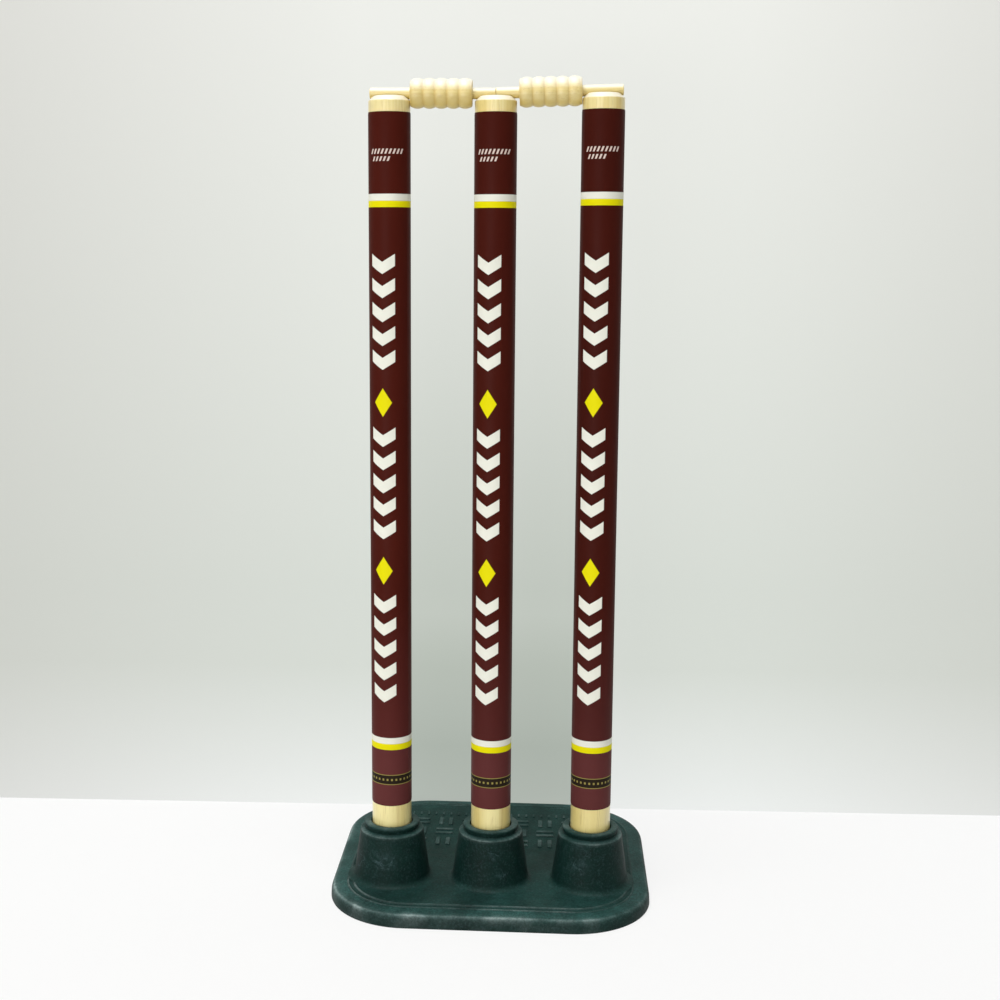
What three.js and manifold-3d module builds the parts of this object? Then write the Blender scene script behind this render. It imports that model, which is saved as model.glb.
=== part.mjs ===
// Cricket stumps: three turned wooden stumps in printed film sleeves, a moulded rubber base and two bails.
// Lengths are millimetres. +X runs along the wicket, +Y to the back of the base and +Z up.
// The origin is on the floor, under the middle stump.

import * as THREE from 'three';
import { mergeVertices } from 'three/addons/utils/BufferGeometryUtils.js';
import Module from 'manifold-3d';

const wasm = await Module();
wasm.setup();

const stump = {
  spacing: 95.25, // axis to axis
  diameter: 37.5, // bare wood
  length: 740,
  footChamfer: 1.5,
  crownHeight: 4.3, // chamfer under the flat top
  crownInset: 4.5,
  grooveDepth: 3,
};

// How far each stump stands off the floor of its socket, because none is pushed home quite alike.
const standOff = { left: 0.5, middle: 0, right: 2.2 };

const sleeve = {
  topGap: 14.4, // bare wood above the film
  footGap: 20, // bare wood between the film and the rubber lip
  thickness: 0.25,
  clearance: 0.2, // film to wood
};

const bail = {
  spigotDiameter: 10,
  barrelDiameter: 26.6,
  beadDepth: 1.3, // crest of a bead to the valley beside it
  beads: 5,
  outerGap: 0.4, // barrel to the outer stump
  innerGap: 2.2, // barrel to the middle stump
  longEndInset: 1.4, // end of the long spigot inside the outer stump's far side
  meetGap: 1, // between the two short ends, over the middle stump
  endChamfer: 0.8,
  barrelEndRound: 1.6,
  seatGap: 0.3,
  grooveClearance: 0.6,
};

const base = {
  sideReach: 57.25, // outer stump's axis to the side of the plate
  frontReach: 87,
  backReach: 200,
  frontCorner: 76,
  backCorner: 85,
  rimHeight: 13.4,
  rimRound: 3.5, // plan width of the soft upper edge
  rimRoundHeight: 6.5,
  panelHeight: 15,
  lineInset: 16.5, // edge of the plate to the line that runs round it
  lineWidth: 5,
  lineDepth: 1.2,
  underside: 3, // overrun below the floor that is cut off flat
};

const boss = {
  footDiameter: 73,
  footFillet: 5,
  shoulderDiameter: 60.6,
  shoulderHeight: 62.6,
  shoulderRound: 2.4,
  neckDiameter: 51.6,
  neckHeight: 63.8,
  lipDiameter: 53.2,
  lipHeight: 70,
  lipRound: 2.2,
  mouthEase: 0.9, // how far the socket opens out at its mouth, on each side
  mouthDepth: 1.5,
  socketFloor: 8,
  socketClearance: 0.3, // rubber to wood
};

const tread = {
  columns: 7,
  rows: 3,
  pitch: 26,
  barLength: 18,
  barWidth: 4.6,
  barSpacing: 10, // between the two bars of a cell
  height: 1.2,
  frontRowReach: 80, // stump line to the middle of the front row
};

const steps = {
  round: 48, // sides of a stump, a sleeve and a boss
  bail: 24,
  corner: 12,
  edge: 4,
  fillet: 3,
  bead: 4,
};

const weldDistance = 0.0001;
const cutOverrun = 5;

const stumpRadius = stump.diameter / 2;
const stumpTop = boss.socketFloor + stump.length;

const paint = {
  rubber: { color: 0x2d4a43, roughness: 0.72, metalness: 0 },
  wood: { color: 0xdccf92, roughness: 0.5, metalness: 0 },
  bailWood: { color: 0xe2d29a, roughness: 0.45, metalness: 0 },
  film: { color: 0x5a2f2c, roughness: 0.25, metalness: 0 },
};

// A closed solid from a geometry, with its shared vertices joined and its flat slivers left out.
function toSolid(geometry) {
  const bare = geometry.clone();
  bare.deleteAttribute('normal');
  bare.deleteAttribute('uv');
  const welded = mergeVertices(bare, weldDistance);
  const corners = welded.index.array;
  const triVerts = [];
  for (let i = 0; i < corners.length; i += 3) {
    const [a, b, c] = corners.slice(i, i + 3);
    if (a !== b && b !== c && c !== a) {
      triVerts.push(a, b, c);
    }
  }
  const vertProperties = Float32Array.from(welded.attributes.position.array);
  return new wasm.Manifold(new wasm.Mesh({ numProp: 3, vertProperties, triVerts: Uint32Array.from(triVerts) }));
}

function toGeometry(solid) {
  const { vertProperties, triVerts } = solid.getMesh();
  const geometry = new THREE.BufferGeometry();
  geometry.setAttribute('position', new THREE.BufferAttribute(vertProperties, 3));
  geometry.setIndex(new THREE.BufferAttribute(triVerts, 1));
  geometry.computeVertexNormals();
  return geometry;
}

// A turned solid round the Z axis. Its profile runs from low to high as [radius, height].
function turned(profile, sides) {
  const points = profile.map(([radius, height]) => new THREE.Vector2(radius, height));
  return new THREE.LatheGeometry(points, sides).rotateX(Math.PI / 2);
}

// Points of an arc in a profile, both ends included.
function arc([centreRadius, centreHeight], [reach, rise], startAngle, endAngle, count) {
  return Array.from({ length: count + 1 }, (_, i) => {
    const angle = startAngle + ((endAngle - startAngle) * i) / count;
    return [centreRadius + reach * Math.cos(angle), centreHeight + rise * Math.sin(angle)];
  });
}

// The plate seen from above, drawn in from its edge by an inset.
function plateOutline(inset) {
  const side = stump.spacing + base.sideReach - inset;
  const front = inset - base.frontReach;
  const back = base.backReach - inset;
  const frontRadius = base.frontCorner - inset;
  const backRadius = base.backCorner - inset;
  const corners = [
    [side - frontRadius, front + frontRadius, frontRadius, -Math.PI / 2],
    [side - backRadius, back - backRadius, backRadius, 0],
    [backRadius - side, back - backRadius, backRadius, Math.PI / 2],
    [frontRadius - side, front + frontRadius, frontRadius, Math.PI],
  ];
  return corners.flatMap(([x, y, radius, start]) =>
    arc([x, y], [radius, radius], start, start + Math.PI / 2, steps.corner).map((p) => new THREE.Vector2(...p)),
  );
}

// The plate with a soft upper edge and a flat underside.
function plate() {
  const slab = new THREE.ExtrudeGeometry(new THREE.Shape(plateOutline(0)), {
    depth: base.rimHeight - base.rimRoundHeight + base.underside,
    bevelThickness: base.rimRoundHeight,
    bevelSize: base.rimRound,
    bevelOffset: -base.rimRound,
    bevelSegments: steps.edge,
  }).translate(0, 0, -base.underside);
  const panelInset = base.lineInset + base.lineWidth;
  const panel = new THREE.ExtrudeGeometry(new THREE.Shape(plateOutline(panelInset)), {
    depth: base.panelHeight - base.underside,
    bevelEnabled: false,
  }).translate(0, 0, base.underside);
  const width = 2 * (stump.spacing + base.sideReach + cutOverrun);
  const length = base.frontReach + base.backReach + 2 * cutOverrun;
  const depth = base.rimRoundHeight + base.underside + cutOverrun;
  const floor = new THREE.BoxGeometry(width, length, depth);
  floor.translate(0, (base.backReach - base.frontReach) / 2, -depth / 2);
  return toSolid(slab).add(toSolid(panel)).subtract(toSolid(floor)).subtract(toSolid(lineGroove()));
}

// The cut for the line that runs round the plate just inside its edge.
function lineGroove() {
  const ring = new THREE.Shape(plateOutline(base.lineInset));
  ring.holes.push(new THREE.Path(plateOutline(base.lineInset + base.lineWidth)));
  return new THREE.ExtrudeGeometry(ring, {
    depth: base.lineDepth + cutOverrun,
    bevelEnabled: false,
  }).translate(0, 0, base.rimHeight - base.lineDepth);
}

// One tapered boss, from inside the plate up to its lip.
function bossBody() {
  const foot = boss.footDiameter / 2;
  const shoulder = boss.shoulderDiameter / 2;
  const lip = boss.lipDiameter / 2;
  const fillet = boss.footFillet;
  const profile = [
    [0, base.panelHeight / 2],
    [foot + fillet, base.panelHeight / 2],
    ...arc([foot + fillet, base.panelHeight + fillet], [fillet, fillet], -Math.PI / 2, -Math.PI, steps.fillet),
    ...arc(
      [shoulder - boss.shoulderRound, boss.shoulderHeight - boss.shoulderRound],
      [boss.shoulderRound, boss.shoulderRound],
      0,
      Math.PI / 2,
      steps.fillet,
    ),
    [boss.neckDiameter / 2, boss.neckHeight],
    ...arc([lip - boss.lipRound, boss.lipHeight - boss.lipRound], [boss.lipRound, boss.lipRound], 0, Math.PI / 2, steps.fillet),
    [0, boss.lipHeight],
  ];
  return turned(profile, steps.round);
}

// The space for a stump: a blind socket, a little eased at its mouth.
function socket() {
  const bore = stumpRadius + boss.socketClearance;
  const mouth = bore + boss.mouthEase;
  return turned(
    [
      [0, boss.socketFloor],
      [bore, boss.socketFloor],
      [bore, boss.lipHeight - boss.mouthDepth],
      [mouth, boss.lipHeight],
      [mouth, boss.lipHeight + cutOverrun],
      [0, boss.lipHeight + cutOverrun],
    ],
    steps.round,
  );
}

// Pairs of raised bars in a basket weave on the plate behind the bosses.
function treadBars() {
  const bars = [];
  for (let row = 0; row < tread.rows; row++) {
    for (let column = 0; column < tread.columns; column++) {
      const alongX = (row + column) % 2 === 0;
      const x = (column - (tread.columns - 1) / 2) * tread.pitch;
      const y = tread.frontRowReach + row * tread.pitch;
      for (const side of [-1, 1]) {
        const shift = (side * tread.barSpacing) / 2;
        const size = alongX ? [tread.barLength, tread.barWidth] : [tread.barWidth, tread.barLength];
        const place = alongX ? [x, y + shift] : [x + shift, y];
        bars.push(new THREE.BoxGeometry(...size, 2 * tread.height).translate(...place, base.panelHeight));
      }
    }
  }
  return bars;
}

function rubberBase() {
  let solid = plate();
  for (const bar of treadBars()) {
    solid = solid.add(toSolid(bar));
  }
  for (const x of [-stump.spacing, 0, stump.spacing]) {
    solid = solid.add(toSolid(bossBody().translate(x, 0, 0)));
    solid = solid.subtract(toSolid(socket().translate(x, 0, 0)));
  }
  return toGeometry(solid);
}

// One stump standing on its socket's floor, with the bail groove across its crown.
function stumpShaft() {
  const shaft = turned(
    [
      [0, boss.socketFloor],
      [stumpRadius - stump.footChamfer, boss.socketFloor],
      [stumpRadius, boss.socketFloor + stump.footChamfer],
      [stumpRadius, stumpTop - stump.crownHeight],
      [stumpRadius - stump.crownInset, stumpTop],
      [0, stumpTop],
    ],
    steps.round,
  );
  const grooveRadius = bail.spigotDiameter / 2 + bail.grooveClearance;
  const groove = new THREE.CylinderGeometry(grooveRadius, grooveRadius, stump.diameter + 2 * cutOverrun, steps.bail);
  groove.rotateZ(Math.PI / 2);
  groove.translate(0, 0, stumpTop - stump.grooveDepth + grooveRadius);
  return toGeometry(toSolid(shaft).subtract(toSolid(groove)));
}

// One film sleeve, a thin tube round the wood.
function filmSleeve() {
  const inner = stumpRadius + sleeve.clearance;
  const outer = inner + sleeve.thickness;
  const top = stumpTop - sleeve.topGap;
  const bottom = boss.lipHeight + sleeve.footGap;
  const ring = [[inner, top], [inner, bottom], [outer, bottom], [outer, top], [inner, top]];
  return toGeometry(toSolid(turned(ring, steps.round)));
}

// One bail along X, from the tip of its long spigot, centred between two stump axes with the long end at -X.
function bailBody() {
  const spigot = bail.spigotDiameter / 2;
  const crest = bail.barrelDiameter / 2;
  const valley = crest - bail.beadDepth;
  const half = stump.spacing / 2;
  const barrelStart = stumpRadius + bail.outerGap - half;
  const barrelEnd = half - stumpRadius - bail.innerGap;
  const longTip = bail.longEndInset - stumpRadius - half;
  const shortTip = half - bail.meetGap / 2;
  const beadLength = (barrelEnd - barrelStart - 2 * bail.barrelEndRound) / bail.beads;
  const profile = [
    [0, longTip],
    [spigot - bail.endChamfer, longTip],
    [spigot, longTip + bail.endChamfer],
    [spigot, barrelStart],
    [valley - bail.barrelEndRound, barrelStart],
  ];
  for (let i = 0; i < bail.beads; i++) {
    const middle = barrelStart + bail.barrelEndRound + beadLength * (i + 1 / 2);
    const bead = arc([valley, middle], [bail.beadDepth, beadLength / 2], -Math.PI / 2, Math.PI / 2, steps.bead);
    profile.push(...(i === 0 ? bead : bead.slice(1)));
  }
  profile.push(
    [valley - bail.barrelEndRound, barrelEnd],
    [spigot, barrelEnd],
    [spigot, shortTip - bail.endChamfer],
    [spigot - bail.endChamfer, shortTip],
    [0, shortTip],
  );
  return toGeometry(toSolid(turned(profile, steps.bail).rotateY(Math.PI / 2)));
}

function addMesh(parent, name, geometry, finish) {
  const mesh = new THREE.Mesh(geometry, new THREE.MeshStandardMaterial(finish));
  mesh.name = name;
  parent.add(mesh);
  return mesh;
}

const wicket = new THREE.Group();
addMesh(wicket, 'rubber_base', rubberBase(), paint.rubber);

const places = { left: -stump.spacing, middle: 0, right: stump.spacing };
for (const [side, x] of Object.entries(places)) {
  const post = new THREE.Group();
  post.position.set(x, 0, standOff[side]);
  addMesh(post, `stump_${side}`, stumpShaft(), paint.wood);
  addMesh(post, `sleeve_${side}`, filmSleeve(), paint.film);
  wicket.add(post);
}

// Each bail leans with the two stumps that carry it, and its long end lies on the outer one.
for (const [side, turn] of [['left', 0], ['right', Math.PI]]) {
  const lean = Math.atan2(standOff[side] - standOff.middle, stump.spacing);
  const rest = stumpTop - stump.grooveDepth + bail.seatGap + bail.spigotDiameter / 2;
  const leanRise = stumpRadius * Math.abs(Math.sin(lean));
  const cradle = new THREE.Group();
  cradle.position.set(places[side] / 2, 0, rest + leanRise + (standOff[side] + standOff.middle) / 2);
  cradle.rotation.z = turn;
  const piece = addMesh(cradle, `bail_${side}`, bailBody(), paint.bailWood);
  piece.rotation.y = lean;
  wicket.add(cradle);
}

export default wicket;
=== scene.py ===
import math
import bmesh
import bpy
from mathutils import Matrix, Vector


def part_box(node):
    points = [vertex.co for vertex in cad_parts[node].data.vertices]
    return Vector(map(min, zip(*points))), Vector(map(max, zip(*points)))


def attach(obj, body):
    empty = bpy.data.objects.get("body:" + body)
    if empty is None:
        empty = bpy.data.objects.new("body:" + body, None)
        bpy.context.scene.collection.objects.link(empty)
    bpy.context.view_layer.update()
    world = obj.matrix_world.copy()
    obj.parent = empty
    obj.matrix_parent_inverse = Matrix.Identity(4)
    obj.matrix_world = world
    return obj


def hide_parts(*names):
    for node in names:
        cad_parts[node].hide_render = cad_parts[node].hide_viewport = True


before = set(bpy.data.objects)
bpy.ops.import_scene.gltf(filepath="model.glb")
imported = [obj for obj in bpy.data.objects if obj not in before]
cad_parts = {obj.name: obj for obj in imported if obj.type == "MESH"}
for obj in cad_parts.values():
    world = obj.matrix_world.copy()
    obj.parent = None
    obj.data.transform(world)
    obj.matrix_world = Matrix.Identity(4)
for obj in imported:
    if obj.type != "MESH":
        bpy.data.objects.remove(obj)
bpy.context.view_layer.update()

mm = 0.001
fullTurn = 2 * math.pi
mergeGap = 1e-7
sharpEdge, sharpTurned = 35, 50  # degrees past which an edge stays sharp

# Camera, at the photo's own place and angle

cameraView = {
    "place": (53.3 * mm, -1349.2 * mm, 621.6 * mm),
    "yaw": 4.04, "pitch": -9.361, "roll": 0.141,  # degrees
    "lens": 53.2, "sensor": 36,
    "shift": (0.0521, -0.0158),
}


def makeCamera():
    cam = bpy.data.objects.new("photoCamera", bpy.data.cameras.new("photoCamera"))
    cam.data.lens = cameraView["lens"]
    cam.data.sensor_width = cameraView["sensor"]
    cam.data.shift_x, cam.data.shift_y = cameraView["shift"]
    turn = Matrix.Rotation(math.radians(cameraView["yaw"]), 4, "Z")
    turn = turn @ Matrix.Rotation(math.radians(90 + cameraView["pitch"]), 4, "X")
    turn = turn @ Matrix.Rotation(math.radians(cameraView["roll"]), 4, "Z")
    cam.matrix_world = Matrix.Translation(cameraView["place"]) @ turn
    bpy.context.collection.objects.link(cam)
    bpy.context.scene.camera = cam
    print("camera placed")


makeCamera()


# Shader maths as plain expressions on sockets

class Sock:
    def __init__(self, mat, out):
        self.mat, self.out = mat, out

    def maths(self, operation, *values):
        return self.mat.node("Math", {"operation": operation}, dict(enumerate(values)))

    def __add__(self, other):
        return self.maths("ADD", self, other)

    def __sub__(self, other):
        return self.maths("SUBTRACT", self, other)

    def __rsub__(self, other):
        return self.maths("SUBTRACT", other, self)

    def __mul__(self, other):
        return self.maths("MULTIPLY", self, other)

    def __abs__(self):
        return self.maths("ABSOLUTE", self)

    def __pow__(self, other):
        return self.maths("POWER", self, other)

    __radd__ = __add__
    __rmul__ = __mul__

    def fract(self):
        return self.maths("FRACT", self)

    def least(self, other):
        return self.maths("MINIMUM", self, other)

    def most(self, other):
        return self.maths("MAXIMUM", self, other)

    def ramp(self, low, high):  # 0 at low, 1 at high, straight between
        return ((self - low) * (1 / (high - low))).most(0).least(1)

    def band(self, low, high, soft):  # 1 between low and high
        return self.ramp(low - soft / 2, low + soft / 2) * (1 - self.ramp(high - soft / 2, high + soft / 2))


class Mat:
    def __init__(self, owner):
        self.owner = owner
        owner.use_nodes = True
        self.tree = owner.node_tree
        self.tree.nodes.clear()

    def node(self, kind, settings=None, inputs=None, output=0):
        made = self.tree.nodes.new("ShaderNode" + kind)
        for key, value in (settings or {}).items():
            setattr(made, key, value)
        for key, value in (inputs or {}).items():
            slot = made.inputs[key]
            if isinstance(value, Sock):
                self.tree.links.new(value.out, slot)
            elif slot.type == "RGBA":
                slot.default_value = (*value, 1)
            else:
                slot.default_value = value
        return Sock(self, made.outputs[output] if made.outputs else None)

    def mix(self, factor, first, second):
        return self.node("Mix", {"data_type": "RGBA"}, {0: factor, 6: first, 7: second}, 2)

    def place(self):
        return self.node("TexCoord", output="Object")

    def axes(self, vector):
        split = self.node("SeparateXYZ", inputs={0: vector}).out.node
        return [Sock(self, out) for out in split.outputs]

    def stretched(self, vector, scale, shift=(0, 0, 0)):
        return self.node("Mapping", inputs={"Vector": vector, "Location": shift, "Scale": scale})

    def noise(self, vector, scale, detail, roughness, distortion=0.0):
        values = {"Scale": scale, "Detail": detail, "Roughness": roughness, "Distortion": distortion}
        return self.node("TexNoise", inputs={"Vector": vector, **values})

    def noises(self, vector, kinds):
        return {name: self.noise(vector, *values) for name, values in kinds.items()}

    def carried(self, name):  # a value that the mesh carries at its points
        return self.node("Attribute", {"attribute_name": name}, output="Fac")

    def bump(self, height, distance, strength):
        return self.node("Bump", inputs={"Height": height, "Distance": distance, "Strength": strength})

    def surface(self, inputs):
        shader = self.node("BsdfPrincipled", inputs=inputs)
        self.node("OutputMaterial", inputs={"Surface": shader})
        return self.owner

    def seen(self):  # 1 where the camera, a reflection or clear matter looks
        rays = self.node("LightPath").out.node.outputs
        kinds = ("Is Camera Ray", "Is Glossy Ray", "Is Transmission Ray")
        camera, glossy, clear = (Sock(self, rays[kind]) for kind in kinds)
        return camera.most(glossy).most(clear)


def srgb(*levels):
    return tuple(((c / 255 + 0.055) / 1.055) ** 2.4 for c in levels)


# Mesh helpers

def arcOf(centre, radius, start, end, count):  # from start to end in degrees
    angles = [math.radians(start + (end - start) * i / count) for i in range(count + 1)]
    return [(centre[0] + radius * math.cos(a), centre[1] + radius * math.sin(a)) for a in angles]


def spun(bm, profile, steps, closed=False):  # turned round Z, from radii and heights
    verts = [bm.verts.new((r, 0, z)) for r, z in profile]
    ends = verts[1:] + verts[:1] if closed else verts[1:]
    edges = [bm.edges.new(pair) for pair in zip(verts, ends)]
    bmesh.ops.spin(
        bm, geom=verts + edges, cent=(0, 0, 0), axis=(0, 0, 1), dvec=(0, 0, 0),
        angle=fullTurn, steps=steps, use_merge=True,
    )
    bmesh.ops.remove_doubles(bm, verts=bm.verts, dist=mergeGap)


def lofted(bm, outlines):
    # walls through outlines of as many points, each with its height, closed at both ends
    number = bm.verts.layers.int.new("number")
    points, z = outlines[0]
    verts = [bm.verts.new((x, y, z)) for x, y in points]
    for i, vert in enumerate(verts):
        vert[number] = i
    first = ring = [bm.edges.new(pair) for pair in zip(verts, verts[1:] + verts[:1])]
    for points, z in outlines[1:]:
        made = bmesh.ops.extrude_edge_only(bm, edges=ring)["geom"]
        verts = {v for v in made if isinstance(v, bmesh.types.BMVert)}
        for vert in verts:
            vert.co = (*points[vert[number]], z)
        ring = [e for e in made if isinstance(e, bmesh.types.BMEdge) and verts.issuperset(e.verts)]
    bmesh.ops.contextual_create(bm, geom=first)
    bmesh.ops.contextual_create(bm, geom=ring)
    bm.verts.layers.int.remove(number)


def linked(name, mesh):
    obj = bpy.data.objects.new(name, mesh)
    bpy.context.collection.objects.link(obj)
    return obj


def smoothed(mesh, sharp):
    mesh.shade_smooth()
    mesh.set_sharp_from_angle(angle=math.radians(sharp))
    return mesh


def meshOf(name, bm, sharp=sharpEdge):
    bmesh.ops.recalc_face_normals(bm, faces=bm.faces)
    mesh = bpy.data.meshes.new(name)
    bm.to_mesh(mesh)
    bm.free()
    return smoothed(mesh, sharp)


def settle(obj):  # the modifiers' result becomes the mesh
    graph = bpy.context.evaluated_depsgraph_get()
    mesh = bpy.data.meshes.new_from_object(obj.evaluated_get(graph))
    obj.modifiers.clear()
    obj.data = smoothed(mesh, sharpEdge)


def combine(obj, operation, other):  # the other object is used up
    step = obj.modifiers.new(other.name, "BOOLEAN")
    step.operation, step.object, step.solver = operation, other, "EXACT"
    settle(obj)
    bpy.data.objects.remove(other)


def marked(obj, name, values):  # one value for each point, for the material
    layer = obj.data.attributes.new(name, "FLOAT", "POINT")
    layer.data.foreach_set("value", values)
    return obj


def upMarked(obj):  # how far each point faces up, 1 to -1
    return marked(obj, "up", [vert.normal.z for vert in obj.data.vertices])


def finished(obj, material, body, node):
    obj.data.materials.clear()
    obj.data.materials.append(material)
    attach(obj, body)
    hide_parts(node)
    print(obj.name, "made")


def middleOf(node):
    return (boxes[node][0] + boxes[node][1]) / 2


sides = ("left", "middle", "right")
nodeNames = ["rubber_base", "bail_left", "bail_right"]
nodeNames += ["stump_" + side for side in sides] + ["sleeve_" + side for side in sides]
boxes = {name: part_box(name) for name in nodeNames}
stumpLine = {side: middleOf("stump_" + side).x for side in sides}
spacing = (stumpLine["right"] - stumpLine["left"]) / 2
crownTop = {side: boxes["stump_" + side][1].z for side in sides}

# Rubber base

baseShape = {
    "frontCorner": 76 * mm, "backCorner": 85 * mm, "cornerSteps": 20,
    "panel": 15 * mm,  # height of the flat plate
    # inset from the edge and height in millimetres and wear with painted highlight of each ring, from the
    # underside up to the panel
    "edge": [
        (1.0, 0, 0.1), (0.3, 0.3, 0.1), (0, 1.0, 0.1), (0.1, 4.0, 0.11), (0.3, 7.4, 0.12), (0.8, 9.6, 0.17),
        (1.3, 10.8, 0.27), (1.9, 11.6, 0.45), (2.6, 12.2, 0.7), (3.4, 12.6, 0.45), (4.6, 12.9, 0.13),
        (8.0, 13.3, 0.03), (14.4, 13.6, 0), (15.2, 13.8, 0.1), (15.7, 14.2, 0.2), (16.3, 14.4, 0.3),
        (16.9, 14.3, 0.1), (17.4, 14.0, 0), (18.2, 13.85, 0), (19.6, 13.9, 0), (20.3, 14.2, 0),
        (20.9, 14.9, 0.2), (21.5, 15.2, 0.3), (22.2, 15.25, 0.2), (23.0, 15.05, 0), (24.4, 15.0, 0),
    ],
    "wearAndHighlightReach": 25 * mm,  # the plate's middle has no wear or painted highlight
    "rightwardShade": 0.5,  # painted shade: less wear and highlight to the right, away from the light
    # wear with painted highlight on the boss's shoulder and lip and on the bars' upper edges
    "shoulderWearAndHighlight": 0.34, "lipWearAndHighlight": 0.22, "wearAndHighlightWidth": 1.2 * mm, "barWearAndHighlight": 0.2,
    "shoulderDrop": 0.5 * mm, "barEdgeShare": 0.6, "socketShare": 1.05,
    "bossFrom": 2 * mm, "flankFrom": 10 * mm,  # heights above the plate where a boss and its flank start
    # shares of dust with painted sheen on faces that look up
    "rimDustAndSheen": 1.25, "rimReach": 15 * mm, "bossDustAndSheen": 0.6,
    "panelDustAndSheen": (0.4, 0.75), "bossShadeReach": 80 * mm,  # least and most; the least is painted shade round the bosses' feet, rising to the most this far from a stump
}

bossShape = {
    "steps": 80, "wellSteps": 48,
    "foot": 35.9 * mm, "fillet": 6.4 * mm,
    "shoulder": 30.3 * mm, "shoulderHeight": 63.0 * mm, "shoulderRound": 1.6 * mm,
    "neck": 25.5 * mm, "neckHeight": 63.6 * mm, "neckRound": 0.8 * mm,
    "lip": 26.6 * mm, "lipRound": 1.9 * mm, "mouth": 19.6 * mm, "mouthRound": 1.3 * mm, "mouthDepth": 7 * mm,
    "flank": (0.2, 0.4, 0.6, 0.8, 0.95),  # where rings lie up the flank
    "flare": ((0.35 * mm, 0.7), (0.1 * mm, 0.85), (0, 1)),  # past the bore, at shares of the mouth's depth
    "bore": 19.0 * mm, "floor": 8 * mm, "floorRound": 0.6 * mm,
    "well": 29 * mm, "wellFloor": 4.5 * mm,  # where the plate is opened for each boss
    "sunk": 0.5 * mm, "overlap": 1 * mm, "skirt": 3 * mm,  # how the boss bites into the plate round that well
    "dip": 0.15 * mm, "toe": 0.4 * mm,  # how the fillet's end dips under the panel
}

treadShape = {
    "columns": 7, "rows": 3, "pitch": 26 * mm, "firstRow": 80 * mm,
    "bar": (18 * mm, 4.6 * mm), "apart": 10 * mm, "height": 1.2 * mm,
    "combCount": 25, "combPitch": 8 * mm, "combLine": 153 * mm, "comb": (2.6 * mm, 8 * mm), "combShare": 0.7,
    "round": 1.1 * mm, "draft": 0.5 * mm, "sunk": 0.4 * mm,
}


def roundedOutline(low, high, lowRadius, highRadius, steps):
    corners = [
        ((high[0] - lowRadius, low[1] + lowRadius), lowRadius, -90),
        ((high[0] - highRadius, high[1] - highRadius), highRadius, 0),
        ((low[0] + highRadius, high[1] - highRadius), highRadius, 90),
        ((low[0] + lowRadius, low[1] + lowRadius), lowRadius, 180),
    ]
    return [p for centre, radius, start in corners for p in arcOf(centre, radius, start, start + 90, steps)]


def plateOutline(inset):
    low, high = boxes["rubber_base"]
    front, back = baseShape["frontCorner"] - inset, baseShape["backCorner"] - inset
    low, high = (low.x + inset, low.y + inset), (high.x - inset, high.y - inset)
    return roundedOutline(low, high, front, back, baseShape["cornerSteps"])


def bossProfile():
    b = bossShape
    top = boxes["rubber_base"][1].z
    panel = baseShape["panel"]
    under, rim = b["wellFloor"] - b["sunk"], b["well"] + b["overlap"]
    root = [(0, under), (rim, under), (rim, panel - b["skirt"])]
    # the fillet dips a little under the panel, so that the two surfaces cross
    foot = arcOf((b["foot"] + b["fillet"], panel + b["fillet"] - b["dip"]), b["fillet"], 270, 187, 9)
    foot[0] = (foot[0][0] + b["toe"], foot[0][1] - b["toe"])
    ease = b["shoulderRound"]
    shoulder = arcOf((b["shoulder"] - ease, b["shoulderHeight"] - ease), ease, 7, 80, 7)
    low, high = Vector(foot[-1]), Vector(shoulder[0])
    flank = [tuple(low.lerp(high, share)) for share in b["flank"]]
    neck = arcOf((b["neck"] + b["neckRound"], b["neckHeight"] + b["neckRound"]), b["neckRound"], 260, 150, 5)
    lip = arcOf((b["lip"] - b["lipRound"], top - b["lipRound"]), b["lipRound"], -25, 90, 8)
    lip += arcOf((b["mouth"] + b["mouthRound"], top - b["mouthRound"]), b["mouthRound"], 90, 175, 6)
    bore = [(b["bore"] + past, top - b["mouthDepth"] * share) for past, share in b["flare"]]
    bore.append((b["bore"], b["floor"] + b["floorRound"]))
    bore += [(b["bore"] - b["floorRound"], b["floor"]), (0, b["floor"])]
    return root + foot + flank + shoulder + neck + lip + bore


def addBar(bm, centre, size, top):
    t = treadShape
    outlines = []
    # inset and rise of each ring, the last ones for the eased edge
    for inset, rise in ((0, -t["sunk"]), (0, 0), (t["draft"] / 2, top * 0.7), (t["draft"] * 1.4, top)):
        half = (size[0] / 2 - inset, size[1] / 2 - inset)
        low = (centre[0] - half[0], centre[1] - half[1])
        high = (centre[0] + half[0], centre[1] + half[1])
        radius = t["round"] - inset
        outlines.append((roundedOutline(low, high, radius, radius, 3), baseShape["panel"] + rise))
    lofted(bm, outlines)


def addTread(bm):
    t = treadShape
    for row in range(t["rows"]):
        for column in range(t["columns"]):
            alongX = (row + column) % 2 == 0
            x = (column - (t["columns"] - 1) / 2) * t["pitch"]
            y = t["firstRow"] + row * t["pitch"]
            for side in (-1, 1):
                shift = side * t["apart"] / 2
                centre = (x, y + shift) if alongX else (x + shift, y)
                addBar(bm, centre, t["bar"] if alongX else t["bar"][::-1], t["height"])
    for i in range(t["combCount"]):
        x = (i - (t["combCount"] - 1) / 2) * t["combPitch"]
        addBar(bm, (x, t["combLine"]), t["comb"], t["height"] * t["combShare"])


def insetAt(x, y):  # how far in from the plate's outline
    low, high = boxes["rubber_base"]
    half = high.x
    atFront = y < low.y + baseShape["frontCorner"]
    radius = baseShape["frontCorner"] if atFront else baseShape["backCorner"]
    aside = abs(x) - (half - radius)
    along = low.y + radius - y if atFront else y - high.y + radius
    if aside > 0 and along > 0:
        return radius - math.hypot(aside, along)
    return min(half - abs(x), y - low.y, high.y - y)


def stumpReach(co):  # distance from the nearest stump's line
    return min(math.hypot(co.x - x, co.y) for x in stumpLine.values())


# wear with painted highlight, one value for each point
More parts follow.
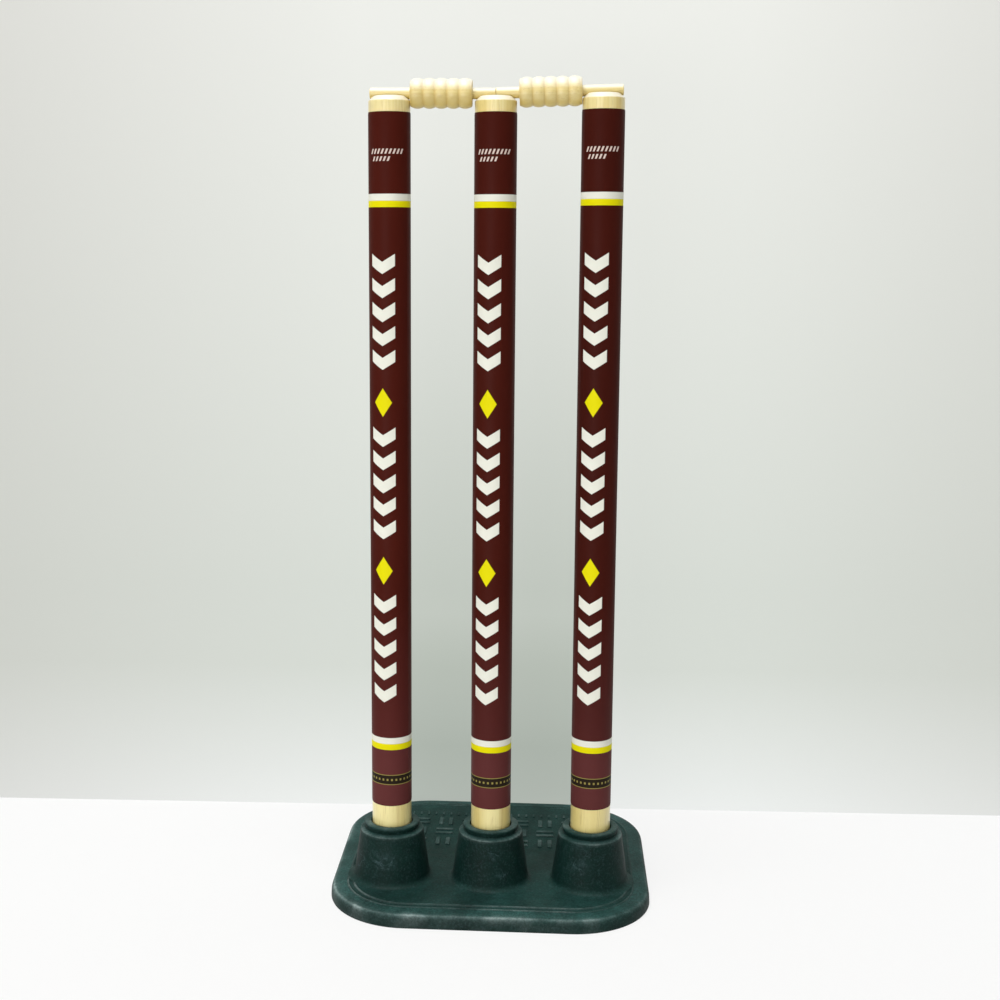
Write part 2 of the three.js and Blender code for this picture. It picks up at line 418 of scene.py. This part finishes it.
def wearAndHighlightAt(co):
    s, b = baseShape, bossShape
    high = boxes["rubber_base"][1]
    reach = stumpReach(co)
    if co.z > s["panel"] + s["bossFrom"]:
        if reach < b["bore"] * s["socketShare"]:  # inside its socket
            return 0
        # wear with painted highlight lies just below the shoulder's height and on the lip's top
        shoulder = 1 - abs(co.z - b["shoulderHeight"] + s["shoulderDrop"]) / s["wearAndHighlightWidth"]
        lip = 1 - abs(high.z - co.z) / s["wearAndHighlightWidth"]
        return max(0, shoulder * s["shoulderWearAndHighlight"], lip * s["lipWearAndHighlight"])
    if reach < b["foot"] + b["fillet"]:
        return 0
    if co.z > s["panel"] + treadShape["height"] * s["barEdgeShare"]:  # the upper edge of a bar
        return s["barWearAndHighlight"]
    inset = insetAt(co.x, co.y)
    if inset > s["wearAndHighlightReach"]:
        return 0
    gaps = [(abs(inset - ring[0] * mm) + abs(co.z - ring[1] * mm), ring[2]) for ring in s["edge"]]
    # painted shade: wear and highlight fall off towards the right
    return min(gaps)[1] * (1 - s["rightwardShade"] * max(0, co.x) / high.x)


def dustAndSheenAt(co, normal):  # dust with painted sheen on faces that look up, most on the rim's top; least round the bosses' feet, which is painted shade
    s = baseShape
    share = s["rimDustAndSheen"]
    if insetAt(co.x, co.y) > s["rimReach"]:
        least, most = s["panelDustAndSheen"]
        share = min(most, max(least, most * stumpReach(co) / s["bossShadeReach"]))
    if co.z > s["panel"] + s["flankFrom"]:
        share = s["bossDustAndSheen"]
    return share * max(0, normal.z) ** 2


def makeBase():
    b = bossShape
    bm = bmesh.new()
    lofted(bm, [(plateOutline(inset * mm), z * mm) for inset, z, _ in baseShape["edge"]])
    base = linked("baseMoulding", meshOf("baseMoulding", bm))
    bars = bmesh.new()
    addTread(bars)
    panel = baseShape["panel"]
    wells = bmesh.new()
    bosses = bmesh.new()
    for x in stumpLine.values():
        bmesh.ops.create_cone(
            wells, cap_ends=True, segments=b["wellSteps"], radius1=b["well"], radius2=b["well"],
            depth=panel * 2, matrix=Matrix.Translation((x, 0, b["wellFloor"] + panel)),
        )
        boss = bmesh.new()
        spun(boss, bossProfile(), b["steps"])
        bmesh.ops.translate(boss, verts=boss.verts, vec=(x, 0, 0))
        part = bpy.data.meshes.new("boss")
        boss.to_mesh(part)
        boss.free()
        bosses.from_mesh(part)
        bpy.data.meshes.remove(part)
    combine(base, "DIFFERENCE", linked("bossWells", meshOf("bossWells", wells)))
    combine(base, "UNION", linked("bosses", meshOf("bosses", bosses)))
    combine(base, "UNION", linked("treadBars", meshOf("treadBars", bars)))
    marked(base, "wearAndHighlight", [wearAndHighlightAt(vert.co) for vert in base.data.vertices])
    return marked(base, "dustAndSheen", [dustAndSheenAt(vert.co, vert.normal) for vert in base.data.vertices])


rubberLook = {
    # the dust colour also paints sheen where the rubber catches light
    "dark": srgb(3, 23, 20), "light": srgb(8, 38, 33), "dustAndSheen": srgb(46, 84, 80), "dustAndSheenStrength": 0.6,
    # the worn and bare colours also paint highlights on edges
    "wornAndHighlit": srgb(128, 149, 147), "bare": srgb(172, 188, 186), "scuff": srgb(88, 113, 118),
    "roughness": 0.56, "sheen": 0.1, "grainDepth": 0.4 * mm, "grainStrength": 0.55,
    "scuffs": [  # centre and reach in millimetres
        ((80, -31, 47), 18), ((-104, -33, 44), 15), ((-92, -34, 38), 9), ((-124, -22, 36), 12),
        ((6, -33, 52), 9), ((12, -33, 30), 8),
    ],
    "noises": {  # scale, detail, roughness, and for one distortion
        "cloudy": (26, 4, 0.6), "mottle": (170, 3, 0.6), "speckle": (620, 3, 0.7), "patchy": (34, 2, 0.5),
        "chips": (240, 4, 0.65), "wander": (44, 3, 0.55, 0.6), "rubbed": (110, 5, 0.8),
        "flecks": (60, 5, 0.7), "motes": (480, 3, 0.75), "grain": (1300, 2, 0.5), "pits": (420, 3, 0.6),
    },
}


def rubberMaterial():
    look = rubberLook
    m = Mat(bpy.data.materials.new("mouldedRubber"))
    at = m.place()
    n = m.noises(at, look["noises"])
    blend = n["cloudy"] * 0.5 + n["mottle"] * 0.2 + n["speckle"] * 0.3
    colour = m.mix(blend.ramp(0.38, 0.62), look["dark"], look["light"])
    # dust with painted sheen lies in patches and in fine specks
    patches, dots = n["patchy"].ramp(0.35, 0.68) * 0.7 + 0.65, n["speckle"].ramp(0.34, 0.66) * 0.9 + 0.55
    dustAndSheenMix = m.carried("dustAndSheen") * blend.ramp(0.25, 0.7) * look["dustAndSheenStrength"] * patches * dots
    colour = m.mix(dustAndSheenMix, colour, look["dustAndSheen"])
    # worn edges with painted highlights are chipped here and there
    wearAndHighlight = m.carried("wearAndHighlight")
    chipped = n["chips"].ramp(0.34, 0.62) * 0.5 + n["speckle"].ramp(0.35, 0.65) * 0.2 + 0.3
    wornAndHighlit = (wearAndHighlight * chipped * (n["patchy"].ramp(0.34, 0.62) * 0.8 + 0.2)).most(0).least(1)
    colour = m.mix(wornAndHighlit, colour, m.mix(n["patchy"].ramp(0.5, 0.66), look["wornAndHighlit"], look["bare"]))
    # scratches and rubbed spots round the scuffs' centres, faint specks everywhere
    scratch = 1 - abs(n["wander"] - 0.5).ramp(0.003, 0.022)
    near = 0
    for centre, reach in look["scuffs"]:
        gap = m.node("VectorMath", {"operation": "DISTANCE"}, {0: at, 1: [c * mm for c in centre]}, "Value")
        near = (1 - gap * (1 / (reach * mm))).most(near)
    rubbed = n["rubbed"].ramp(0.48, 0.74) * 0.22
    scuffed = near.ramp(0, 0.7) * (scratch * n["chips"].ramp(0.3, 0.6) * 0.3 + rubbed)
    specks = n["flecks"].ramp(0.55, 0.8) * 0.06 + n["motes"].ramp(0.5, 0.75) * 0.13
    colour = m.mix((scuffed + specks).least(1), colour, look["scuff"])
    rise = n["grain"] * 0.35 + n["pits"] * 0.65
    rough = n["mottle"] * 0.22 + (look["roughness"] - 0.11) + wornAndHighlit * 0.2
    return m.surface({
        "Base Color": colour, "Roughness": rough, "Specular IOR Level": look["sheen"],
        "Normal": m.bump(rise, look["grainDepth"], look["grainStrength"]),
    })


# Stumps

stumpShape = {
    "steps": 96, "grooveSteps": 48,
    "crownHeight": 4.3 * mm, "crownInset": 4.5 * mm, "shoulderRound": 1.6 * mm, "crownRound": 1.4 * mm,
    "footChamfer": 1.5 * mm,
    "grooveDepth": 3 * mm, "grooveRadius": 5.6 * mm, "grooveEase": 0.35 * mm, "easeSteps": 2, "easeFrom": 40,
}


def makeStump(side):
    s = stumpShape
    low, high = boxes["stump_" + side]
    radius = (high.x - low.x) / 2
    foot, top = low.z, high.z
    slope = math.degrees(math.atan2(s["crownHeight"], s["crownInset"]))
    shoulder, turn = s["shoulderRound"], s["crownRound"]
    brink = top - s["crownHeight"]
    profile = [(0, foot), (radius - s["footChamfer"], foot), (radius, foot + s["footChamfer"])]
    profile.append((radius, brink - shoulder))
    profile += arcOf((radius - shoulder, brink - shoulder * 0.4), shoulder, 0, 90 - slope, 5)[1:]
    flat = radius - s["crownInset"]
    profile += arcOf((flat - turn * 0.4, top - turn), turn, 90 - slope, 90, 5)
    profile.append((0, top))
    bm = bmesh.new()
    spun(bm, profile, s["steps"])
    stump = linked("stumpWood_" + side, meshOf("stumpWood_" + side, bm))
    cut = bmesh.new()
    bmesh.ops.create_cone(
        cut, cap_ends=True, segments=s["grooveSteps"], radius1=s["grooveRadius"], radius2=s["grooveRadius"],
        depth=4 * radius, matrix=Matrix.Rotation(math.pi / 2, 4, "Y"),
    )
    bmesh.ops.translate(cut, verts=cut.verts, vec=(0, 0, top - s["grooveDepth"] + s["grooveRadius"]))
    cutter = linked("grooveCutter", meshOf("grooveCutter", cut))
    combine(stump, "DIFFERENCE", cutter)
    ease = stump.modifiers.new("ease", "BEVEL")
    ease.width, ease.segments, ease.limit_method = s["grooveEase"], s["easeSteps"], "ANGLE"
    ease.angle_limit = math.radians(s["easeFrom"])
    settle(stump)
    stump.data.transform(Matrix.Translation((stumpLine[side], 0, 0)))
    return upMarked(stump)


woodLook = {
    "pale": srgb(231, 215, 154), "body": srgb(219, 199, 128),
    "streak": srgb(198, 168, 94), "streaked": 0.65, "pore": srgb(166, 130, 70), "pored": 0.55,
    # on the next line: the colour of painted shade on the undersides and that of painted light at the stumps'
    # feet
    "warm": srgb(214, 186, 92), "warmed": 0.6, "underShade": srgb(205, 178, 92), "footLight": srgb(246, 232, 162),
    "footLightShare": 0.85, "footLightBetween": (100 * mm, 600 * mm),  # painted light, all of it below, none above
    "footYellowed": {"left": 0.0, "middle": 0.0, "right": 0.35},
    "paintedTopLight": srgb(232, 228, 212), "topLightShare": 0.85,  # painted highlight where the wood faces up
    "bailUnderShade": {"left": 0.75, "right": 0.5},  # painted shade, most on the underside
    "grooveShade": srgb(192, 158, 72), "grooveShadeShare": 0.5,  # painted shade in the turned grooves
    "stumpSeed": {"left": 0.4, "middle": 2.1, "right": 3.8}, "bailSeed": {"left": 5.2, "right": 7.5},
    "heart": (21 * mm, 34 * mm), "heartDrift": 4 * mm,  # to the side and behind, further out with the seed
    "ringGap": 3.1 * mm, "stretch": 0.03,  # the grain runs this much slower along the piece
    "roughness": 0.42, "stumpCoatRough": 0.32, "bailCoatRough": 0.5,
    "grainDepth": 0.12 * mm, "grainStrength": 0.6,
    "noises": {  # scale, detail, roughness
        "sway": (28, 2, 0.5), "streak": (150, 4, 0.6), "deep": (95, 3, 0.55), "warm": (42, 2, 0.5),
    },
    "poreNoise": (1500, 2, 0.5),
}


def woodMaterial(name, along, centre, seed, coatRough, underShade=0.0, yellowed=0.0):
    look = woodLook
    m = Mat(bpy.data.materials.new(name))
    at = m.stretched(m.place(), (1, 1, 1), [-c for c in centre])
    length = {"Z": (1, 1, look["stretch"]), "X": (look["stretch"], 1, 1)}[along]
    fibre = m.stretched(at, length, (seed, seed * 0.7, seed * 1.3))
    n = m.noises(fibre, look["noises"])
    # growth rings round a heart that lies outside the piece
    x, y, z = m.axes(at)
    across = x if along == "Z" else z
    aside, behind = across + look["heart"][0] + look["heartDrift"] * seed, y + look["heart"][1]
    far = aside * aside + behind * behind
    early = ((far ** 0.5) * (1 / look["ringGap"]) + n["sway"] * 2.4).fract()
    band = early.ramp(0, 0.8) * (1 - early.ramp(0.86, 1))
    tone = (band * 0.42 + n["streak"] * 0.7).ramp(0.3, 1.0)
    colour = m.mix(tone, look["pale"], look["body"])
    if along == "Z":  # painted light: the foot is lighter than the crown
        foot = 1 - z.ramp(*look["footLightBetween"])
        colour = m.mix(foot * look["footLightShare"], colour, look["footLight"])
        colour = m.mix(foot * yellowed, colour, look["warm"])
    colour = m.mix(n["deep"].ramp(0.58, 0.72) * look["streaked"], colour, look["streak"])
    colour = m.mix(n["warm"].ramp(0.46, 0.64) * look["warmed"], colour, look["warm"])
    pore = m.noise(m.stretched(at, length, (seed, 0, seed)), *look["poreNoise"]).ramp(0.61, 0.72)
    colour = m.mix(pore * look["pored"], colour, look["pore"])
    up = m.carried("up")
    # painted shade: darker and yellower on the underside
    colour = m.mix((1 - up.ramp(-0.6, 0.5)) * underShade, colour, look["underShade"])
    # painted shade: darker in the turned grooves
    colour = m.mix(m.carried("groove").ramp(0.4, 1.0) * look["grooveShadeShare"], colour, look["grooveShade"])
    # painted highlight: paler where the wood faces up
    colour = m.mix(up.ramp(0.1, 0.75) * look["topLightShare"], colour, look["paintedTopLight"])
    rise = n["streak"] * 0.4 - pore * 0.6
    return m.surface({
        "Base Color": colour, "Roughness": n["streak"] * 0.14 + (look["roughness"] - 0.07),
        "Normal": m.bump(rise, look["grainDepth"], look["grainStrength"]),
        "Coat Weight": 1.0, "Coat Roughness": coatRough,
    })


# Film sleeves

sleeveShape = {
    "steps": 144, "rings": 24, "wall": 0.12 * mm,
    "taper": 1.6 * mm, "hug": 0.08 * mm, "play": 0.02 * mm,  # how the shrunk ends close on the wood
    "lap": 7 * mm, "lapRise": 0.14 * mm,
    # side of each stump on which the film's lap lies, in degrees from the front towards +X
    "lapAt": {"left": 66, "middle": 178, "right": -66},
}


def makeSleeve(side):
    s = sleeveShape
    low, high = boxes["sleeve_" + side]
    outer = (high.x - low.x) / 2 - s["lapRise"]
    inner = outer - s["wall"]
    wood = (boxes["stump_" + side][1].x - boxes["stump_" + side][0].x) / 2 + s["play"]
    foot, top, taper = low.z, high.z, s["taper"]
    levels = [foot + taper + (top - foot - 2 * taper) * i / s["rings"] for i in range(s["rings"] + 1)]
    profile = [(wood + s["hug"], foot)] + [(outer, z) for z in levels] + [(wood + s["hug"], top)]
    profile += [(wood, top)] + [(inner, z) for z in reversed(levels)] + [(wood, foot)]
    bm = bmesh.new()
    spun(bm, profile, s["steps"], closed=True)
    lapAngle = math.radians(s["lapAt"][side])
    lapReach = s["lap"] / outer / 2
    for vert in bm.verts:
        reach = math.hypot(vert.co.x, vert.co.y)
        turn = (math.atan2(vert.co.x, -vert.co.y) - lapAngle + math.pi) % fullTurn - math.pi
        if abs(turn) < lapReach and reach > wood + s["hug"] / 2:
            vert.co.xy *= (reach + s["lapRise"]) / reach
    unwrapped(bm, outer)
    bmesh.ops.translate(bm, verts=bm.verts, vec=(stumpLine[side], 0, 0))
    return linked("filmSleeve_" + side, meshOf("filmSleeve_" + side, bm, sharpTurned))


def unwrapped(bm, radius):
    # u runs round the film from the front towards +X, v is the height, both in metres
    layer = bm.loops.layers.uv.new("film")
    for face in bm.faces:
        middle = face.calc_center_median()
        base = math.atan2(middle.x, -middle.y)
        for loop in face.loops:
            turn = math.atan2(loop.vert.co.x, -loop.vert.co.y)
            turn = base + (turn - base + math.pi) % fullTurn - math.pi
            loop[layer].uv = (turn * radius, loop.vert.co.z)


filmLook = {
    "maroon": srgb(73, 22, 13), "maroonDeep": srgb(52, 15, 9), "haze": srgb(108, 60, 61),
    "white": srgb(226, 226, 214), "yellow": srgb(224, 214, 8),
    "black": srgb(38, 30, 22), "line": srgb(150, 138, 74),
    # painted reflection of the floor pales the film towards the foot; below the lower stripes the print is
    # paler
    "footPaling": 0.36, "palingHeight": 200 * mm, "fadedFoot": 0.22,
    "tone": {"left": 0.6, "middle": 0.45, "right": 0.25},  # painted shade: the sleeves are darker from left to right, further from the light
    "roughness": 0.48, "sheen": 0.045, "creaseDepth": 0.12 * mm, "creaseStrength": 0.5,
    # scale, detail and roughness of each noise
    "cloudy": (9, 2, 0.5), "creases": (120, 3, 0.55), "speck": (700, 2, 0.5), "smear": (40, 4, 0.65),
    "printSoft": 0.35 * mm,
    # heights below the film's upper edge or above its lower one
    "upperWhite": (71.5 * mm, 77.6 * mm), "upperYellow": (77.6 * mm, 83.2 * mm),
    "lowerWhite": (61.5 * mm, 67.5 * mm), "lowerYellow": (55.7 * mm, 61.5 * mm),
    "strip": (21.2 * mm, 31.0 * mm), "stripLine": 0.65 * mm, "dotPitch": 4.2 * mm, "dotHalf": 1 * mm,
    # chevrons in groups one above the other, with a diamond in each gap
    "column": -5.0 * mm, "columnHalf": 11.6 * mm, "columnFoot": 97 * mm, "chevronSlope": 0.62,
    "groups": 3, "perGroup": 5, "pitch": 21.5 * mm, "duty": 0.5, "groupGap": 49 * mm,
    "diamond": (8.5 * mm, 13 * mm),
    # rows of slanted ticks: drop of the row, its left end, how many, their pitch and half height
    "mark": ((34.5 * mm, -17 * mm, 9, 3.6 * mm, 2.2 * mm), (41 * mm, -15 * mm, 5, 3.6 * mm, 2.0 * mm)),
    "markColour": srgb(214, 196, 186), "markSlant": 0.4,
}


def filmMaterial(side):
    f = filmLook
    m = Mat(bpy.data.materials.new("printedFilm_" + side))
    low, high = boxes["sleeve_" + side]
    foot, top = low.z, high.z
    soft = f["printSoft"]
    u, v, _ = m.axes(m.node("UVMap", {"uv_map": "film"}))
    at = m.place()
    cloudy = m.noise(at, *f["cloudy"])
    # painted shade: each side's tone sets how dark its maroon is
    colour = m.mix(cloudy.ramp(0.3, 0.7) * 0.2 + f["tone"][side], f["maroonDeep"], f["maroon"])
    # painted reflection of the floor makes the film paler towards the foot; below the lower stripes the print
    # itself is paler
    footPaling = (1 - v.ramp(foot, foot + f["palingHeight"])) * f["footPaling"]
    footPaling = footPaling + (1 - v.ramp(foot + f["lowerYellow"][0], foot + f["lowerWhite"][1])) * f["fadedFoot"]
    colour = m.mix(footPaling, colour, f["haze"])
    aside = abs(u - f["column"])
    inColumn = 1 - aside.ramp(f["columnHalf"] - soft / 2, f["columnHalf"] + soft / 2)
    rise = v - aside * f["chevronSlope"]
    white, yellow = 0, 0
    for group in range(f["groups"]):
        start = foot + f["columnFoot"] + group * (f["perGroup"] * f["pitch"] + f["groupGap"])
        end = start + f["perGroup"] * f["pitch"]
        step = ((rise - start) * (1 / f["pitch"])).fract()
        bars = step.band(0.25, 0.25 + f["duty"], soft / f["pitch"]) * rise.band(start, end, soft)
        white = bars * inColumn + white
        if group < f["groups"] - 1:
            middle = end + f["groupGap"] / 2
            diamond = aside * (1 / f["diamond"][0]) + abs(v - middle) * (1 / f["diamond"][1])
            yellow = (1 - diamond.ramp(0.96, 1.04)) + yellow
    marks = 0
    for drop, left, count, pitch, half in f["mark"]:
        slant = u - left - (v - top + drop) * f["markSlant"]
        ticks = (slant * (1 / pitch)).fract().band(0.25, 0.72, 0.1) * slant.band(0, count * pitch, soft)
        marks = ticks * v.band(top - drop - half, top - drop + half, soft) + marks
    white = white + v.band(top - f["upperWhite"][1], top - f["upperWhite"][0], soft)
    yellow = yellow + v.band(top - f["upperYellow"][1], top - f["upperYellow"][0], soft)
    white = white + v.band(foot + f["lowerWhite"][0], foot + f["lowerWhite"][1], soft)
    yellow = yellow + v.band(foot + f["lowerYellow"][0], foot + f["lowerYellow"][1], soft)
    lower, upper = (foot + h for h in f["strip"])
    strip = v.band(lower, upper, soft)
    lines = v.band(lower, lower + f["stripLine"], soft) + v.band(upper - f["stripLine"], upper, soft)
    middle = (lower + upper) / 2
    dots = (u * (1 / f["dotPitch"])).fract().band(0.3, 0.7, 0.1)
    dots = dots * v.band(middle - f["dotHalf"], middle + f["dotHalf"], soft)
    colour = m.mix(white.least(1), colour, f["white"])
    colour = m.mix(yellow.least(1), colour, f["yellow"])
    colour = m.mix(strip, colour, f["black"])
    colour = m.mix(marks.least(1), colour, f["markColour"])
    colour = m.mix((lines + dots).least(1), colour, f["line"])
    creases = m.noise(m.stretched(at, (1, 1, 0.12)), *f["creases"])
    speck = m.noise(at, *f["speck"])
    smear = m.noise(at, *f["smear"])
    return m.surface({
        "Base Color": colour, "Roughness": smear * 0.2 + (f["roughness"] - 0.1),
        "Normal": m.bump(creases * 0.8 + speck * 0.2, f["creaseDepth"], f["creaseStrength"]),
        "Specular IOR Level": f["sheen"],
    })


# Bails

bailShape = {
    "steps": 72,
    "spigot": 5 * mm, "crest": 13.3 * mm, "bead": 1.4 * mm, "beads": 5, "beadSteps": 10,
    "outerGap": 0.4 * mm, "innerGap": 2.2 * mm, "longInset": 1.4 * mm, "meetGap": 0.2 * mm,
    "endRound": 0.8 * mm, "barrelRound": 1.0 * mm, "neckRound": 0.9 * mm, "endLean": 0.02 * mm,
    "seatGap": 0.3 * mm,
}


def bailProfile(stumpRadius):
    b = bailShape
    half = spacing / 2
    start = stumpRadius + b["outerGap"] - half
    end = half - stumpRadius - b["innerGap"]
    longTip = b["longInset"] - stumpRadius - half
    shortTip = half - b["meetGap"] / 2
    spigot, valley, ease, tip = b["spigot"], b["crest"] - b["bead"], b["barrelRound"], b["endRound"]
    length = (end - start - 2 * ease) / b["beads"]
    profile = [(0, longTip)]
    profile += arcOf((spigot - tip, longTip + tip), tip, -90, 0, 5)
    profile += arcOf((spigot + b["neckRound"], start - b["neckRound"]), b["neckRound"], 180, 90, 4)
    profile.append((valley - ease * 0.9, start + b["endLean"]))
    profile += arcOf((valley - ease, start + ease), ease, -80, -25, 4)
    for i in range(b["beads"]):
        middle = start + ease + length * (i + 0.5)
        for k in range(b["beadSteps"] + 1):
            along = -1 + 2 * k / b["beadSteps"]
            swell = b["bead"] * (1 - along * along)
            if k or not i:  # each bead starts where the last one ended
                profile.append((valley + swell, middle + along * length / 2))
    profile += arcOf((valley - ease, end - ease), ease, 25, 80, 4)
    profile.append((valley - ease * 0.9, end - b["endLean"]))
    profile += arcOf((spigot + b["neckRound"], end + b["neckRound"]), b["neckRound"], 270, 180, 4)
    profile += arcOf((spigot - tip, shortTip - tip), tip, 0, 90, 5)
    profile.append((0, shortTip))
    return profile


def makeBail(side):
    b = bailShape
    low, high = boxes["stump_" + side]
    stumpRadius = (high.x - low.x) / 2
    bm = bmesh.new()
    spun(bm, bailProfile(stumpRadius), b["steps"])
    groove = bm.verts.layers.float.new("groove")  # 1 at the foot of the turned grooves
    for vert in bm.verts:
        rise = (vert.co.xy.length - b["crest"] + b["bead"]) / b["bead"]
        vert[groove] = max(0, 1 - abs(rise))
    lean = math.atan2(crownTop[side] - crownTop["middle"], spacing)
    rise = stumpRadius * abs(math.sin(lean))
    grooves = (crownTop[side] + crownTop["middle"]) / 2 - stumpShape["grooveDepth"]
    rest = grooves + b["seatGap"] + b["spigot"] + rise
    turn = Matrix.Rotation(math.pi if side == "right" else 0, 4, "Z") @ Matrix.Rotation(lean, 4, "Y")
    turn = turn @ Matrix.Rotation(math.pi / 2, 4, "Y")
    bmesh.ops.transform(bm, verts=bm.verts, matrix=Matrix.Translation((stumpLine[side] / 2, 0, rest)) @ turn)
    return upMarked(linked("turnedBail_" + side, meshOf("turnedBail_" + side, bm, sharpTurned)))


# Making the pieces

finished(makeBase(), rubberMaterial(), "base", "rubber_base")
for side in sides:
    body = side + "_stump"
    wood = woodMaterial(
        "stumpWood_" + side, "Z", (stumpLine[side], 0, 0), woodLook["stumpSeed"][side],
        woodLook["stumpCoatRough"], yellowed=woodLook["footYellowed"][side],
    )
    finished(makeStump(side), wood, body, "stump_" + side)
    finished(makeSleeve(side), filmMaterial(side), body, "sleeve_" + side)
for side in ("left", "right"):
    wood = woodMaterial(
        "bailWood_" + side, "X", middleOf("bail_" + side), woodLook["bailSeed"][side],
        woodLook["bailCoatRough"], underShade=woodLook["bailUnderShade"][side],
    )
    finished(makeBail(side), wood, side + "_bail", "bail_" + side)


# Floor, backdrop and light

studio = {
    "floor": srgb(216, 216, 214), "floorShown": srgb(254, 254, 254), "floorGlow": 0.78,
    "wall": srgb(217, 222, 215), "wallGlow": 0.85, "wallAt": 216.2 * mm, "wallTurn": 1.65, "reach": 4,
    # the wall is lighter at its top and foot and dimmer to both sides, over these distances in metres
    "wallTop": srgb(240, 241, 236), "topBetween": (0.25, 0.9),
    "wallFoot": srgb(240, 243, 241), "footBetween": (0.0, 0.16),
    "wallDim": srgb(186, 184, 178), "dimming": 0.8, "dimLine": 0.05, "dimBetween": (0.2, 1.0),
    # soft shade behind the stumps: its share and the heights over which it fades
    "wallShade": srgb(120, 136, 118), "shades": ((0.26, 0.25, 0.72), (0.32, 0.07, 0.22)),
    "shadeLine": -0.008, "shadeBetween": (0.088, 0.131),
    "world": 0.14, "worldShown": srgb(238, 239, 235),
    "lamps": [  # name, place, aim, width, height, watts
        ("overhead", (-0.6, -1.6, 6.0), (0, 0, 0.3), 4.6, 2.8, 382),
        ("leftFront", (-0.95, -2.3, 0.3), (0, 0, 0.05), 1.4, 0.9, 28),
    ],
}


def backdropMaterial(name, paint, shown, glow):
    # diffuse paint that the camera and reflections see lit up by a share of its shown colour
    m = Mat(bpy.data.materials.new(name))
    matt = m.node("BsdfDiffuse", inputs={"Color": paint(m)})
    light = m.node("Emission", inputs={"Color": shown(m), "Strength": 1.0})
    return m, m.node("MixShader", inputs={0: m.seen() * glow, 1: matt, 2: light})


def wallColour(m):
    s = studio
    across, _, height = m.axes(m.place())
    colour = m.mix(height.ramp(*s["topBetween"]), s["wall"], s["wallTop"])
    colour = m.mix(1 - height.ramp(*s["footBetween"]), colour, s["wallFoot"])
    colour = m.mix(abs(across - s["dimLine"]).ramp(*s["dimBetween"]) * s["dimming"], colour, s["wallDim"])
    shade = sum((1 - height.ramp(low, high)) * share for share, low, high in s["shades"])
    behind = 1 - abs(across - s["shadeLine"]).ramp(*s["shadeBetween"])
    return m.mix(shade * behind, colour, s["wallShade"])


def makeStage():
    floorMat, shown = backdropMaterial(
        "paleFloor", lambda m: studio["floor"], lambda m: studio["floorShown"], studio["floorGlow"]
    )
    floorMat.node("OutputMaterial", inputs={"Surface": shown})
    bm = bmesh.new()
    bmesh.ops.create_grid(bm, x_segments=1, y_segments=1, size=studio["reach"])
    floor = linked("paleFloor", meshOf("paleFloor", bm))
    floor.data.materials.append(floorMat.owner)

    wallMat, shown = backdropMaterial("paleWall", wallColour, wallColour, studio["wallGlow"])
    back = wallMat.node("NewGeometry", output="Backfacing")
    clear = wallMat.node("BsdfTransparent")
    shown = wallMat.node("MixShader", inputs={0: back, 1: shown, 2: clear})
    wallMat.node("OutputMaterial", inputs={"Surface": shown})
    bm = bmesh.new()
    bmesh.ops.create_grid(bm, x_segments=1, y_segments=1, size=studio["reach"])
    turn = Matrix.Rotation(math.radians(studio["wallTurn"]), 4, "Z") @ Matrix.Rotation(math.pi / 2, 4, "X")
    bmesh.ops.transform(bm, verts=bm.verts, matrix=Matrix.Translation((0, studio["wallAt"], 0)) @ turn)
    mesh = bpy.data.meshes.new("paleWall")
    bm.to_mesh(mesh)
    bm.free()
    wall = linked("paleWall", mesh)
    wall.data.materials.append(wallMat.owner)
    wall.visible_shadow = False
    print("floor and wall made")


def makeLights():
    for name, place, aim, width, height, watts in studio["lamps"]:
        data = bpy.data.lights.new(name, "AREA")
        data.shape, data.size, data.size_y, data.energy = "RECTANGLE", width, height, watts
        lamp = bpy.data.objects.new(name, data)
        way = Vector(aim) - Vector(place)
        lamp.matrix_world = Matrix.Translation(place) @ way.to_track_quat("-Z", "Y").to_matrix().to_4x4()
        bpy.context.collection.objects.link(lamp)
    bpy.context.scene.world = bpy.data.worlds.new("softRoom")
    room = Mat(bpy.context.scene.world)
    soft = room.node("Background", inputs={"Color": (1, 1, 1), "Strength": studio["world"]})
    pale = room.node("Background", inputs={"Color": studio["worldShown"], "Strength": 1.0})
    shown = room.node("MixShader", inputs={0: room.seen(), 1: soft, 2: pale})
    room.node("OutputWorld", inputs={"Surface": shown})
    print("lights made")


makeStage()
makeLights()
bpy.context.scene.view_settings.view_transform = "Standard"
